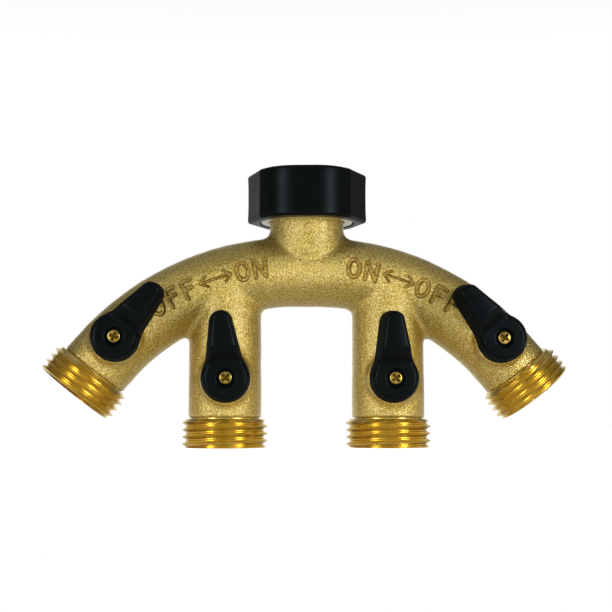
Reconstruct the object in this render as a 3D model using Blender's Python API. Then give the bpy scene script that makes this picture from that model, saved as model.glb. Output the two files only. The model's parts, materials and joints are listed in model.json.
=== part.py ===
"""Four-way hose splitter: a cast-brass arch with a swivel tap nut and four ball-valved outlets.

Run with: blender --background --python part.py
Frame: X runs across the outlets, the levers face -Y, +Z is up and the straight outlets stand on
z = 0. Every valve is built in its own frame: the ball centre is the origin, local +Z points
upstream along the branch and local -Y is the stem axis towards the lever.
"""

import math

import bmesh
import bpy
from mathutils import Matrix, Vector

MM = 0.001
GAP = 0.3 * MM
OVERRUN = 2.0 * MM

# Cast arch, neck and branches
ARCH_RADIUS = 79.3 * MM
ARCH_CENTRE_X = 3.3 * MM
ARCH_CENTRE_Z = -24.1 * MM
PIPE_RADIUS = 11.0 * MM
GALLERY_RADIUS = 7.8 * MM
GALLERY_END_ANGLE = math.radians(36.0)
ARCH_END_ANGLE = math.radians(46.0)
BRANCH_RADIUS = 11.3 * MM
BRANCH_X = 25.7 * MM
PASSAGE_RADIUS = 6.6 * MM
BRANCH_JOIN = 6.0 * MM
PASSAGE_JOIN = 4.0 * MM
NECK_RADIUS = 11.65 * MM
NECK_TOP = 75.2 * MM
INLET_RADIUS = 8.5 * MM

# Threaded outlets (3/4 inch garden hose thread, 11.5 turns to the inch)
PITCH = 25.4 / 11.5 * MM
THREAD_MAJOR = 13.49 * MM
THREAD_MINOR = 12.05 * MM
THREAD_CLEARANCE = 0.15 * MM
THREAD_LENGTH = 9.0 * MM
CREST_SHARE = 0.12
OUTLET_THREAD_START = 0.5
THREAD_SHARES = (CREST_SHARE / 2, 0.5 - CREST_SHARE / 2, 0.5 + CREST_SHARE / 2, 1 - CREST_SHARE / 2)
END_CHAMFER_SLOPE = 1.2
MOUTH_RADIUS = 8.5 * MM
MOUTH_DEPTH = 6.5 * MM
SPIGOT_RADIUS = 7.3 * MM
SPIGOT_BORE = 5.2 * MM
OUTER_END = (72.3 * MM, 16.9 * MM)
OUTER_TILT = math.radians(38.5)

# Ball valve, measured from the ball centre
VALVE_TO_END = 21.3 * MM
BALL_RADIUS = 6.6 * MM
BALL_BORE = 4.4 * MM
SEAT_BORE = 4.6 * MM
SEAT_BACK = 7.6 * MM
SEAT_LIP = 3.9 * MM
SEAT_CONTACT = 3.8 * MM
PORT_RADIUS = 4.8 * MM
PORT_WALL = 2.4 * MM
BOSS_RADIUS = 8.9 * MM
BOSS_ROOT = 1.0 * MM
BOSS_FACE = 12.8 * MM
STEM_RADIUS = 3.0 * MM
STEM_FLANGE_RADIUS = 3.6 * MM
STEM_FLANGE_BOTTOM = 7.7 * MM
STEM_FLANGE_TOP = 8.8 * MM
STEM_SQUARE = 4.2 * MM
STEM_SHOULDER = 13.0 * MM
STEM_TOP = 16.6 * MM
TANG_BOTTOM = 5.3 * MM
TANG_WIDTH = 2.0 * MM
TANG_LENGTH = 5.8 * MM
STEM_JOIN = 0.5 * MM
ORING_GROOVE = (9.9 * MM, 11.4 * MM)
ORING_GROOVE_RADIUS = 1.8 * MM
ORING_CORD_RADIUS = 0.44 * MM

# Lever, measured from the stem axis
HUB_RADIUS = 7.75 * MM
BLADE_RADIUS = 6.9 * MM
HUB_BOTTOM = 13.1 * MM
HUB_TOP = 19.5 * MM
LEVER_TOP = 24.0 * MM
LEVER_REACH = 21.0 * MM
TIP_RADIUS = 3.8 * MM
RAMP_START = 4.2 * MM
RAMP_END = 9.0 * MM
LEVER_DRAFT = 0.8 * MM
WEB_BOTTOM = 16.9 * MM
WEB_TOP = 17.8 * MM
COUNTERBORE_RADIUS = 2.9 * MM
SCREW_HEAD_RADIUS = 1.95 * MM
SCREW_HEAD_HEIGHT = 1.3 * MM
SCREW_SHANK_RADIUS = 1.1 * MM
SCREW_TIP = 13.8 * MM
RECESS_SIZE = (2.2 * MM, 0.6 * MM)

# Swivel nut
NUT_BOTTOM = 70.7 * MM
NUT_TOP = 86.3 * MM
NUT_EDGE = 0.9 * MM
NUT_REST_TURN = math.radians(-2.4)
NUT_OUTLINE = (
    (0, 18.9), (16, 19.6), (30, 19.2), (45, 18.7), (90, 18.9), (135, 18.7), (150, 19.2), (164, 19.6),
    (180, 18.9), (196, 19.6), (210, 19.2), (225, 18.7), (270, 18.9), (315, 18.7), (330, 19.2), (344, 19.6),
)
INSERT_RADIUS = 14.65 * MM
INSERT_BOTTOM = 70.9 * MM
INSERT_TOP = 84.6 * MM
INSERT_LIP_TOP = 72.6 * MM
INSERT_LIP_RADIUS = 12.0 * MM
INSERT_CHAMBER_RADIUS = 13.3 * MM
INSERT_THREAD_BOTTOM = 77.6 * MM
NUT_LIP_RADIUS = 13.9 * MM
KEY_WIDTH = 3.0 * MM
KEY_HEIGHT = 8.0 * MM
KEY_DEPTH = 1.0 * MM
KEY_ROOT = 0.3 * MM
RING_INNER_RADIUS = 10.8 * MM
RING_OUTER_RADIUS = 12.8 * MM
RING_HEIGHT = 1.2 * MM
RING_SPLIT = 2.0 * MM
WASHER_OUTER_RADIUS = 11.7 * MM
WASHER_INNER_RADIUS = 8.0 * MM
WASHER_HEIGHT = 2.5 * MM

# The pipe plane stands behind the origin, so that the origin is the middle of the whole depth.
NUT_DEPTH = max(
    radius * MM * math.cos(math.radians(angle) + NUT_REST_TURN) for angle, radius in NUT_OUTLINE
)
PIPE_PLANE_Y = (LEVER_TOP - NUT_DEPTH) / 2

# Valve name: side (-1 left, +1 right), tilted or straight branch, lean of the lever from its branch
VALVES = {
    "left_outer": (-1, True, math.radians(-1.5)),
    "left_inner": (-1, False, math.radians(5.0)),
    "right_inner": (1, False, math.radians(2.3)),
    "right_outer": (1, True, math.radians(2.3)),
}

# Facets round a full turn
ROUND_LARGE = 28
ROUND_PIPE = 20
ROUND_MEDIUM = 18
ROUND_SMALL = 14
ROUND_TINY = 10

MATERIALS = {
    "cast_brass": ((0.46, 0.31, 0.085), 0.52, 1.0),
    "turned_brass": ((0.62, 0.40, 0.08), 0.25, 1.0),
    "black_plastic": ((0.012, 0.013, 0.015), 0.42, 0.0),
    "light_metal": ((0.62, 0.58, 0.48), 0.45, 1.0),
    "spring_steel": ((0.50, 0.51, 0.52), 0.30, 1.0),
    "polished_ball": ((0.75, 0.76, 0.77), 0.12, 1.0),
    "white_seat": ((0.85, 0.85, 0.82), 0.45, 0.0),
    "black_rubber": ((0.015, 0.015, 0.016), 0.70, 0.0),
}


def clear_scene():
    for old in list(bpy.data.objects):
        bpy.data.objects.remove(old)


def material(name):
    made = bpy.data.materials.get(name)
    if made is None:
        colour, roughness, metallic = MATERIALS[name]
        made = bpy.data.materials.new(name)
        made.use_nodes = True
        shader = made.node_tree.nodes["Principled BSDF"]
        shader.inputs["Base Color"].default_value = (*colour, 1.0)
        shader.inputs["Roughness"].default_value = roughness
        shader.inputs["Metallic"].default_value = metallic
    return made


def empty(name, location, tilt=0.0):
    marker = bpy.data.objects.new(name, None)
    marker.location = location
    marker.rotation_euler = (0.0, tilt, 0.0)
    bpy.context.scene.collection.objects.link(marker)
    return marker


def mesh_object(name, bm, material_name, parent=None):
    """Turn a bmesh into an object with outward faces, smooth rounds and its own material."""
    bmesh.ops.remove_doubles(bm, verts=bm.verts, dist=1e-7)
    bmesh.ops.recalc_face_normals(bm, faces=bm.faces)
    mesh = bpy.data.meshes.new(name)
    bm.to_mesh(mesh)
    bm.free()
    mesh.shade_smooth()
    mesh.set_sharp_from_angle(angle=math.radians(35))
    made = bpy.data.objects.new(name, mesh)
    made.data.materials.append(material(material_name))
    made.parent = parent
    bpy.context.scene.collection.objects.link(made)
    return made


def boolean(target, tool, operation):
    """Join or cut with a hidden tool object that stays editable."""
    tool.hide_render = True
    tool.display_type = "WIRE"
    step = target.modifiers.new(tool.name, "BOOLEAN")
    step.operation = operation
    step.object = tool
    step.solver = "EXACT"


def column(bm, rows, angle):
    """Vertices of (radius, height) rows at one angle about local Z."""
    return [
        bm.verts.new((radius * math.cos(angle), radius * math.sin(angle), height))
        for radius, height in rows
    ]


def angles(segments):
    return [2 * math.pi * step / segments for step in range(segments)]


def wall(bm, columns, closed):
    """Faces between neighbouring columns; closed also joins each column's last row to its first."""
    rows = len(columns[0])
    for index, here in enumerate(columns):
        beside = columns[(index + 1) % len(columns)]
        for row in range(rows if closed else rows - 1):
            above = (row + 1) % rows
            bm.faces.new((here[row], beside[row], beside[above], here[above]))


def turned(rows, segments):
    """Revolve a closed loop of (radius, height) rows: a ring."""
    bm = bmesh.new()
    wall(bm, [column(bm, rows, angle) for angle in angles(segments)], True)
    return bm


def solid_turned(rows, segments):
    """Revolve an open run of (radius, height) rows and close its two flat ends."""
    bm = bmesh.new()
    columns = [column(bm, rows, angle) for angle in angles(segments)]
    wall(bm, columns, False)
    for row in (0, -1):
        bm.faces.new([here[row] for here in columns])
    return bm


def cylinder(radius, bottom, top, segments):
    bm = bmesh.new()
    place = Matrix.Translation((0, 0, (bottom + top) / 2))
    bmesh.ops.create_cone(
        bm, cap_ends=True, segments=segments, radius1=radius, radius2=radius,
        depth=top - bottom, matrix=place,
    )
    return bm


def box(size_x, size_y, bottom, top):
    bm = bmesh.new()
    bmesh.ops.create_cube(bm, size=1.0)
    scale = Matrix.Diagonal((size_x, size_y, top - bottom, 1.0))
    place = Matrix.Translation((0, 0, (bottom + top) / 2))
    bmesh.ops.transform(bm, matrix=place @ scale, verts=bm.verts)
    return bm


def to_stem_axis(made):
    """Parts of the stem are modelled along +Z; in a valve the stem runs along -Y."""
    made.rotation_euler = (math.radians(90), 0.0, 0.0)


# ---------------------------------------------------------------- threads


def thread_radius(share, minor, major):
    """Radius of a 60-degree thread at a share (0 to 1) of its pitch, crest in the middle."""
    flank = (1 - 2 * CREST_SHARE) / 2
    rise = (flank + CREST_SHARE / 2 - abs(share - 0.5)) / flank
    return minor + (major - minor) * min(1.0, max(0.0, rise))


def thread_rows(angle, bottom, top, minor, major, end_limit, start=0.0):
    """One column of a right-hand thread between two heights.

    end_limit(radius, height) trims the radius near the ends, where the rows pile up on one point.
    start lifts the helix by a share of its pitch.
    """
    rows = []
    for turn in range(-2, math.ceil((top - bottom) / PITCH) + 1):
        for share in THREAD_SHARES:
            height = bottom + PITCH * (turn + share + start + angle / (2 * math.pi))
            radius = thread_radius(share, minor, major)
            height = min(top, max(bottom, height))
            rows.append((end_limit(radius, height), height))
    return rows


def threaded(before, thread, after, segments):
    """Turned ring whose rows run: before, the helical rows of thread(angle), after.

    A helical row that has gone once round arrives one turn higher, so the last column's helical
    rows meet the first column's rows of the next turn.
    """
    bm = bmesh.new()
    columns = [column(bm, before + thread(angle) + after, angle) for angle in angles(segments)]
    rows = len(columns[0])
    first = len(before)
    last = rows - len(after) - 1
    for index, here in enumerate(columns):
        beside = columns[(index + 1) % segments]
        last_column = index == segments - 1
        for row in range(rows):
            above = (row + 1) % rows
            shift = len(THREAD_SHARES) if last_column and first <= row < last else 0
            if shift and above + shift > last:
                continue
            bm.faces.new((here[row], beside[row + shift], beside[above + shift], here[above]))
    return bm


# ---------------------------------------------------------------- casting


def arch_point(angle, side):
    """Centreline of the arch: an arc on each side of a short level run."""
    return Vector((
        side * (ARCH_CENTRE_X + ARCH_RADIUS * math.sin(angle)),
        0.0,
        ARCH_CENTRE_Z + ARCH_RADIUS * math.cos(angle),
    ))


def valve_centre(side, tilted):
    if tilted:
        end_x, end_z = OUTER_END
        x = end_x - VALVE_TO_END * math.sin(OUTER_TILT)
        z = end_z + VALVE_TO_END * math.cos(OUTER_TILT)
    else:
        x = BRANCH_X
        z = VALVE_TO_END
    return Vector((side * x, 0.0, z))


def valve_tilt(side, tilted):
    return -side * OUTER_TILT if tilted else 0.0


def casting_end():
    """Distance from the ball centre down to the casting's end face."""
    return VALVE_TO_END - THREAD_LENGTH - GAP


def arch_centreline(last_angle, steps, to_outlet):
    """Points from the left end of the arch to the right end."""
    half = [arch_point(last_angle * step / steps, 1) for step in range(steps + 1)]
    if to_outlet:
        down = Vector((math.sin(OUTER_TILT), 0.0, -math.cos(OUTER_TILT)))
        half.append(valve_centre(1, True) + down * casting_end())
    mirrored = [Vector((-point.x, 0.0, point.z)) for point in reversed(half)]
    return mirrored + half


def swept(points, radius, segments, end_turn):
    """Round tube solid along points in the XZ plane; end_turn is the slope of its two end faces."""
    bm = bmesh.new()
    rings = []
    for index, point in enumerate(points):
        ahead = points[min(index + 1, len(points) - 1)]
        behind = points[max(index - 1, 0)]
        along = (ahead - behind).normalized()
        if index == 0:
            along = Vector((math.cos(end_turn), 0.0, math.sin(end_turn)))
        if index == len(points) - 1:
            along = Vector((math.cos(end_turn), 0.0, -math.sin(end_turn)))
        upward = Vector((-along.z, 0.0, along.x))
        ring = []
        for step in range(segments):
            angle = 2 * math.pi * step / segments
            offset = upward * (radius * math.cos(angle))
            offset.y = radius * math.sin(angle)
            ring.append(bm.verts.new(point + offset))
        rings.append(ring)
    for ring, following in zip(rings, rings[1:]):
        for step in range(segments):
            beside = (step + 1) % segments
            bm.faces.new((ring[step], ring[beside], following[beside], following[step]))
    bm.faces.new(rings[0])
    bm.faces.new(rings[-1])
    return bm


def valve_cavity():
    """Chamber for the ball and seats, the port upstream of it and the stem hole."""
    chamber = SPIGOT_RADIUS + GAP
    shoulder = SEAT_BACK + GAP
    upstream = shoulder + PORT_WALL
    below = -casting_end() - OVERRUN
    return solid_turned([
        (chamber, below), (chamber, shoulder), (PORT_RADIUS, shoulder), (PORT_RADIUS, upstream + OVERRUN),
    ], ROUND_PIPE)


def stem_hole():
    flange = STEM_FLANGE_RADIUS + GAP
    hole = STEM_RADIUS + GAP
    return solid_turned([
        (flange, 0.0), (flange, STEM_FLANGE_TOP + GAP), (hole, STEM_FLANGE_TOP + GAP),
        (hole, BOSS_FACE + OVERRUN),
    ], ROUND_SMALL)


def make_casting(pipe_plane):
    points = arch_centreline(ARCH_END_ANGLE, 7, True)
    tube = swept(points, PIPE_RADIUS, ROUND_PIPE, math.radians(90) - OUTER_TILT)
    casting = mesh_object("manifold_body", tube, "cast_brass", pipe_plane)
    neck_foot = ARCH_CENTRE_Z + ARCH_RADIUS
    neck = cylinder(NECK_RADIUS, neck_foot, NECK_TOP, ROUND_LARGE)
    boolean(casting, mesh_object("join_neck", neck, "cast_brass", pipe_plane), "UNION")
    for name, (side, tilted, _) in VALVES.items():
        add_branch(casting, name, side, tilted, pipe_plane)
    gallery_points = arch_centreline(GALLERY_END_ANGLE, 5, False)
    gallery = swept(gallery_points, GALLERY_RADIUS, ROUND_MEDIUM, GALLERY_END_ANGLE)
    boolean(casting, mesh_object("cut_gallery", gallery, "cast_brass", pipe_plane), "DIFFERENCE")
    inlet = cylinder(INLET_RADIUS, neck_foot, NECK_TOP + OVERRUN, ROUND_PIPE)
    boolean(casting, mesh_object("cut_inlet", inlet, "cast_brass", pipe_plane), "DIFFERENCE")
    boolean(casting, make_groove_cutter(pipe_plane), "DIFFERENCE")
    for name, (side, tilted, _) in VALVES.items():
        cut_branch(casting, name, side, tilted, pipe_plane)
    return casting


def make_groove_cutter(pipe_plane):
    """Groove of the neck that takes the retaining ring."""
    bottom = INSERT_LIP_TOP
    top = bottom + RING_HEIGHT + 2 * GAP
    inner = RING_INNER_RADIUS - GAP
    outer = NECK_RADIUS + OVERRUN
    rows = [(inner, bottom), (outer, bottom), (outer, top), (inner, top)]
    return mesh_object("cut_ring_groove", turned(rows, ROUND_LARGE), "cast_brass", pipe_plane)


def add_branch(casting, name, side, tilted, pipe_plane):
    """Join the straight branch's tube and the round boss under the lever."""
    centre = valve_centre(side, tilted)
    frame = empty("joins_" + name, centre, valve_tilt(side, tilted))
    frame.parent = pipe_plane
    if not tilted:
        top = ARCH_CENTRE_Z + ARCH_RADIUS - BRANCH_JOIN - centre.z
        tube = cylinder(BRANCH_RADIUS, -casting_end(), top, ROUND_PIPE)
        boolean(casting, mesh_object("join_branch_" + name, tube, "cast_brass", frame), "UNION")
    boss_shape = cylinder(BOSS_RADIUS, BOSS_ROOT, BOSS_FACE, ROUND_LARGE)
    boss = mesh_object("join_boss_" + name, boss_shape, "cast_brass", frame)
    to_stem_axis(boss)
    boolean(casting, boss, "UNION")


def cut_branch(casting, name, side, tilted, pipe_plane):
    """Cut the passage from the gallery, the valve chamber and the stem hole."""
    centre = valve_centre(side, tilted)
    frame = empty("cuts_" + name, centre, valve_tilt(side, tilted))
    frame.parent = pipe_plane
    if not tilted:
        bottom = SEAT_BACK + GAP + PORT_WALL
        top = ARCH_CENTRE_Z + ARCH_RADIUS - PASSAGE_JOIN - centre.z
        passage = cylinder(PASSAGE_RADIUS, bottom, top, ROUND_SMALL)
        boolean(casting, mesh_object("cut_passage_" + name, passage, "cast_brass", frame), "DIFFERENCE")
    cavity = mesh_object("cut_chamber_" + name, valve_cavity(), "cast_brass", frame)
    boolean(casting, cavity, "DIFFERENCE")
    hole = mesh_object("cut_stem_hole_" + name, stem_hole(), "cast_brass", frame)
    to_stem_axis(hole)
    boolean(casting, hole, "DIFFERENCE")


# ---------------------------------------------------------------- outlets and valves


def make_nipple(name, frame):
    """Threaded outlet with a plain spigot that enters the casting."""
    end = -VALVE_TO_END
    shoulder = end + THREAD_LENGTH
    spigot_end = -SEAT_BACK - GAP
    mouth_inner = end + MOUTH_DEPTH
    cone_top = mouth_inner + (MOUTH_RADIUS - SPIGOT_BORE)

    def limit(radius, height):
        from_end = min(height - end, shoulder - height)
        return min(radius, THREAD_MINOR + END_CHAMFER_SLOPE * from_end)

    def thread(angle):
        return thread_rows(angle, end, shoulder, THREAD_MINOR, THREAD_MAJOR, limit, OUTLET_THREAD_START)

    before = [
        (SPIGOT_BORE, spigot_end), (SPIGOT_BORE, cone_top),
        (MOUTH_RADIUS, mouth_inner), (MOUTH_RADIUS, end),
    ]
    after = [(SPIGOT_RADIUS, shoulder), (SPIGOT_RADIUS, spigot_end)]
    shape = threaded(before, thread, after, ROUND_PIPE)
    return mesh_object("outlet_nipple_" + name, shape, "turned_brass", frame)


def make_ball(name, frame):
    """Bored ball with the slot that the stem's tang turns it by."""
    edge = math.acos(BALL_BORE / BALL_RADIUS)
    steps = 8
    rows = []
    for step in range(steps + 1):
        angle = edge - 2 * edge * step / steps
        rows.append((BALL_RADIUS * math.cos(angle), BALL_RADIUS * math.sin(angle)))
    ball = mesh_object("valve_ball_" + name, turned(rows, ROUND_MEDIUM), "polished_ball", frame)
    slot_bottom = TANG_BOTTOM - GAP
    slot = box(4 * BALL_RADIUS, TANG_WIDTH + 2 * GAP, slot_bottom, BALL_RADIUS + OVERRUN)
    cutter = mesh_object("cut_slot_" + name, slot, "polished_ball", frame)
    to_stem_axis(cutter)
    boolean(ball, cutter, "DIFFERENCE")
    return ball


def make_seat(kind, name, frame, direction):
    """Plastic seat ring; direction is +1 upstream of the ball and -1 downstream."""
    reach = BALL_RADIUS + GAP
    first = math.acos(SEAT_BORE / reach)
    last = math.asin(SEAT_CONTACT / reach)
    rows = [(SEAT_BORE, SEAT_BACK), (SPIGOT_RADIUS, SEAT_BACK), (SPIGOT_RADIUS, SEAT_LIP)]
    steps = 2
    for step in range(steps + 1):
        angle = last + (first - last) * step / steps
        rows.append((reach * math.cos(angle), reach * math.sin(angle)))
    rows = [(radius, direction * height) for radius, height in rows]
    return mesh_object("seat_" + kind + "_" + name, turned(rows, ROUND_SMALL), "white_seat", frame)


def make_stem(name, frame):
    """Stem with tang, blow-out flange, O-ring groove and square head, tapped for the screw."""
    low, high = ORING_GROOVE
    rows = [
        (STEM_FLANGE_RADIUS, STEM_FLANGE_BOTTOM), (STEM_FLANGE_RADIUS, STEM_FLANGE_TOP),
        (STEM_RADIUS, STEM_FLANGE_TOP), (STEM_RADIUS, low), (ORING_GROOVE_RADIUS, low),
        (ORING_GROOVE_RADIUS, high), (STEM_RADIUS, high), (STEM_RADIUS, STEM_SHOULDER),
    ]
    stem = mesh_object("valve_stem_" + name, solid_turned(rows, ROUND_SMALL), "turned_brass", frame)
    head = box(STEM_SQUARE, STEM_SQUARE, high + STEM_JOIN, STEM_TOP)
    tang = box(TANG_LENGTH, TANG_WIDTH, TANG_BOTTOM, STEM_FLANGE_TOP - STEM_JOIN)
    tapped = cylinder(SCREW_SHANK_RADIUS + GAP, SCREW_TIP - GAP, STEM_TOP + OVERRUN, ROUND_TINY)
    boolean(stem, mesh_object("join_head_" + name, head, "turned_brass", stem), "UNION")
    boolean(stem, mesh_object("join_tang_" + name, tang, "turned_brass", stem), "UNION")
    boolean(stem, mesh_object("cut_tapped_" + name, tapped, "turned_brass", stem), "DIFFERENCE")
    to_stem_axis(stem)
    return stem


def make_oring(name, frame):
    middle = sum(ORING_GROOVE) / 2
    centre_radius = STEM_RADIUS - ORING_CORD_RADIUS
    rows = [
        (centre_radius + ORING_CORD_RADIUS * math.cos(angle), middle + ORING_CORD_RADIUS * math.sin(angle))
        for angle in angles(6)
    ]
    oring = mesh_object("stem_oring_" + name, turned(rows, ROUND_TINY), "black_rubber", frame)
    to_stem_axis(oring)
    return oring


def lever_height(along):
    """Top of the lever: flat over the hub, a hollow ramp, then level to the tip."""
    if along <= RAMP_START:
        return HUB_TOP
    share = min(1.0, (along - RAMP_START) / (RAMP_END - RAMP_START))
    return HUB_TOP + (LEVER_TOP - HUB_TOP) * math.sin(share * math.pi / 2) ** 1.5


def lever_stations(inset):
    """Half-widths at stations from hub back to tip: a round hub, a tapered blade and a round tip."""
    hub_radius = HUB_RADIUS - inset
    tip_radius = TIP_RADIUS - inset
    tip_centre = LEVER_REACH - TIP_RADIUS
    tangent = math.asin((BLADE_RADIUS - TIP_RADIUS) / tip_centre)
    hub_end = math.asin(RAMP_START / hub_radius)
    stations = []
    hub_steps = 9
    for step in range(hub_steps + 1):
        angle = -math.pi / 2 + (hub_end + math.pi / 2) * step / hub_steps
        stations.append((hub_radius * math.sin(angle), hub_radius * math.cos(angle)))
    for along in (0.7 * RAMP_START + 0.3 * RAMP_END, 0.3 * RAMP_START + 0.7 * RAMP_END, RAMP_END):
        width = (BLADE_RADIUS - inset - along * math.sin(tangent)) / math.cos(tangent)
        stations.append((along, width))
    tip_steps = 5
    for step in range(tip_steps + 1):
        angle = tangent + (math.pi / 2 - tangent) * step / tip_steps
        stations.append((tip_centre + tip_radius * math.sin(angle), tip_radius * math.cos(angle)))
    return stations


def lever_skin():
    """Lever with a wide outline below and a drafted one above."""
    bm = bmesh.new()
    below = lever_stations(0.0)
    above = lever_stations(LEVER_DRAFT)
    loops = []
    for (along_low, width_low), (along_high, width_high) in zip(below, above):
        height = lever_height(along_high)
        loops.append([
            bm.verts.new((-width_low, along_low, HUB_BOTTOM)),
            bm.verts.new((width_low, along_low, HUB_BOTTOM)),
            bm.verts.new((width_high, along_high, height)),
            bm.verts.new((-width_high, along_high, height)),
        ])
    for loop, following in zip(loops, loops[1:]):
        for corner in range(4):
            beside = (corner + 1) % 4
            bm.faces.new((loop[corner], loop[beside], following[beside], following[corner]))
    return bm


def make_handle(name, frame, lean):
    """Black lever with a square socket below and a counterbore for its screw above."""
    handle = mesh_object("handle_" + name, lever_skin(), "black_plastic", frame)
    socket = box(STEM_SQUARE + 2 * GAP, STEM_SQUARE + 2 * GAP, HUB_BOTTOM - OVERRUN, WEB_BOTTOM)
    socket_tool = mesh_object("cut_socket_" + name, socket, "black_plastic", handle)
    socket_tool.rotation_euler = (0.0, 0.0, -lean)
    bore = solid_turned([
        (SCREW_SHANK_RADIUS + GAP, WEB_BOTTOM - OVERRUN), (SCREW_SHANK_RADIUS + GAP, WEB_TOP),
        (COUNTERBORE_RADIUS, WEB_TOP), (COUNTERBORE_RADIUS, HUB_TOP + OVERRUN),
    ], ROUND_SMALL)
    boolean(handle, socket_tool, "DIFFERENCE")
    boolean(handle, mesh_object("cut_screw_way_" + name, bore, "black_plastic", handle), "DIFFERENCE")
    handle.rotation_euler = (math.radians(90), -lean, 0.0)
    return handle


def make_screw(name, frame):
    """Pan-head screw with a cross recess."""
    under = WEB_TOP + GAP
    rows = [
        (SCREW_SHANK_RADIUS, SCREW_TIP), (SCREW_SHANK_RADIUS, under), (SCREW_HEAD_RADIUS, under),
        (SCREW_HEAD_RADIUS, under + 0.6 * SCREW_HEAD_HEIGHT),
        (0.75 * SCREW_HEAD_RADIUS, under + SCREW_HEAD_HEIGHT),
    ]
    screw = mesh_object("handle_screw_" + name, solid_turned(rows, ROUND_TINY), "turned_brass", frame)
    floor = under + 0.4 * SCREW_HEAD_HEIGHT
    for number, (width, depth) in enumerate((RECESS_SIZE, RECESS_SIZE[::-1])):
        slot = box(width, depth, floor, under + SCREW_HEAD_HEIGHT + OVERRUN)
        tool = mesh_object("cut_cross_%d_%s" % (number, name), slot, "turned_brass", screw)
        boolean(screw, tool, "DIFFERENCE")
    to_stem_axis(screw)
    return screw


def make_valve(name, pipe_plane):
    side, tilted, lean = VALVES[name]
    frame = empty("valve_" + name, valve_centre(side, tilted), valve_tilt(side, tilted))
    frame.parent = pipe_plane
    make_nipple(name, frame)
    make_ball(name, frame)
    make_seat("inner", name, frame, 1)
    make_seat("outer", name, frame, -1)
    make_stem(name, frame)
    make_oring(name, frame)
    make_handle(name, frame, lean)
    make_screw(name, frame)


# ---------------------------------------------------------------- swivel nut


def nut_ring(bm, height, inset):
    ring = []
    for degrees, radius in NUT_OUTLINE:
        angle = math.radians(degrees)
        reach = radius * MM - inset
        ring.append(bm.verts.new((reach * math.sin(angle), -reach * math.cos(angle), height)))
    return ring


def make_nut_shell(swivel):
    """Black grip shell: two bowed faces, four flats, eased edges, bored for the insert."""
    bm = bmesh.new()
    rings = [
        nut_ring(bm, NUT_BOTTOM, NUT_EDGE), nut_ring(bm, NUT_BOTTOM + NUT_EDGE, 0.0),
        nut_ring(bm, NUT_TOP - NUT_EDGE, 0.0), nut_ring(bm, NUT_TOP, NUT_EDGE),
    ]
    for ring, following in zip(rings, rings[1:]):
        for step in range(len(ring)):
            beside = (step + 1) % len(ring)
            bm.faces.new((ring[step], ring[beside], following[beside], following[step]))
    bm.faces.new(rings[0])
    bm.faces.new(rings[-1])
    shell = mesh_object("swivel_nut", bm, "black_plastic", swivel)
    bore_radius = INSERT_RADIUS + GAP
    bore = solid_turned([
        (bore_radius, NUT_BOTTOM - OVERRUN), (bore_radius, INSERT_TOP + GAP),
        (NUT_LIP_RADIUS, INSERT_TOP + GAP), (NUT_LIP_RADIUS, NUT_TOP + OVERRUN),
    ], ROUND_LARGE)
    boolean(shell, mesh_object("cut_nut_bore", bore, "black_plastic", swivel), "DIFFERENCE")
    middle = (INSERT_BOTTOM + INSERT_TOP) / 2
    for number in range(2):
        slot = box(
            2 * (INSERT_RADIUS + KEY_DEPTH + GAP), KEY_WIDTH + 2 * GAP,
            middle - KEY_HEIGHT / 2 - GAP, middle + KEY_HEIGHT / 2 + GAP,
        )
        tool = mesh_object("cut_key_slot_%d" % number, slot, "black_plastic", swivel)
        tool.rotation_euler = (0.0, 0.0, number * math.radians(90))
        boolean(shell, tool, "DIFFERENCE")
    return shell


def make_insert(swivel):
    """Light metal sleeve with the female thread, a lip under the retaining ring and four keys."""
    minor = THREAD_MINOR + THREAD_CLEARANCE
    major = THREAD_MAJOR + THREAD_CLEARANCE

    def limit(radius, height):
        from_end = min(INSERT_TOP - height, height - INSERT_THREAD_BOTTOM)
        return max(radius, major - END_CHAMFER_SLOPE * from_end)

    def thread(angle):
        return thread_rows(angle, INSERT_THREAD_BOTTOM, INSERT_TOP, minor, major, limit)

    before = [
        (INSERT_RADIUS, INSERT_TOP), (INSERT_RADIUS, INSERT_BOTTOM), (INSERT_LIP_RADIUS, INSERT_BOTTOM),
        (INSERT_LIP_RADIUS, INSERT_LIP_TOP), (INSERT_CHAMBER_RADIUS, INSERT_LIP_TOP),
        (INSERT_CHAMBER_RADIUS, INSERT_THREAD_BOTTOM),
    ]
    turning = threaded(before, thread, [], ROUND_PIPE)
    insert = mesh_object("nut_thread_insert", turning, "light_metal", swivel)
    middle = (INSERT_BOTTOM + INSERT_TOP) / 2
    for number in range(4):
        key = box(KEY_DEPTH + 2 * KEY_ROOT, KEY_WIDTH, middle - KEY_HEIGHT / 2, middle + KEY_HEIGHT / 2)
        reach = INSERT_RADIUS + KEY_DEPTH / 2 - KEY_ROOT
        bmesh.ops.translate(key, vec=(reach, 0.0, 0.0), verts=key.verts)
        tool = mesh_object("join_key_%d" % number, key, "light_metal", swivel)
        tool.rotation_euler = (0.0, 0.0, number * math.radians(90))
        boolean(insert, tool, "UNION")
    return insert


def make_washer(swivel):
    bottom = NECK_TOP + GAP
    top = bottom + WASHER_HEIGHT
    rows = [
        (WASHER_INNER_RADIUS, bottom), (WASHER_OUTER_RADIUS, bottom),
        (WASHER_OUTER_RADIUS, top), (WASHER_INNER_RADIUS, top),
    ]
    return mesh_object("inlet_washer", turned(rows, ROUND_PIPE), "black_rubber", swivel)


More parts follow.
